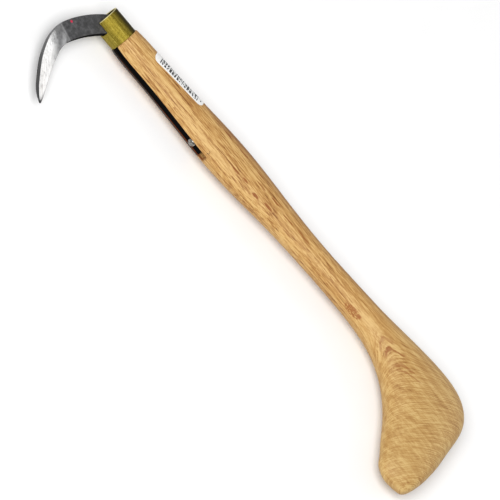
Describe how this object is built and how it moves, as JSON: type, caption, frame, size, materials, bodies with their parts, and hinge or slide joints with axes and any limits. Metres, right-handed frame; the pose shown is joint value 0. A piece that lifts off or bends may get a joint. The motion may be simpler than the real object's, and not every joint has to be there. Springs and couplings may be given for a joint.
{
  "type": "hooked hand sickle",
  "caption": "Short hooked sickle with a forged blade, a brass ferrule and a carved wooden handle that ends in a hooked heel.",
  "frame": {"origin": "under the middle of the tool's bounding box, on the surface that it lies on", "axes": "+X runs down the handle from the ferrule to the butt, the blade and heel point to -Y, and +Z is the thickness, out of the cheek that faces up as it lies"},
  "size_m": [0.4474, 0.1303, 0.0314],
  "materials": {
    "handle": "bare light oak, sanded, lengthwise grain",
    "blade": "dark forge scale on the bar, bright ground bevel",
    "ferrule": "brushed olive-yellow brass",
    "tang_nail": "bright worn steel",
    "label": "white coated paper"
  },
  "bodies": {
    "root": {"handle": "handle", "blade": "blade", "ferrule": "ferrule", "tang_nail": "tang_nail", "label": "label"}
  },
  "joints": []
}
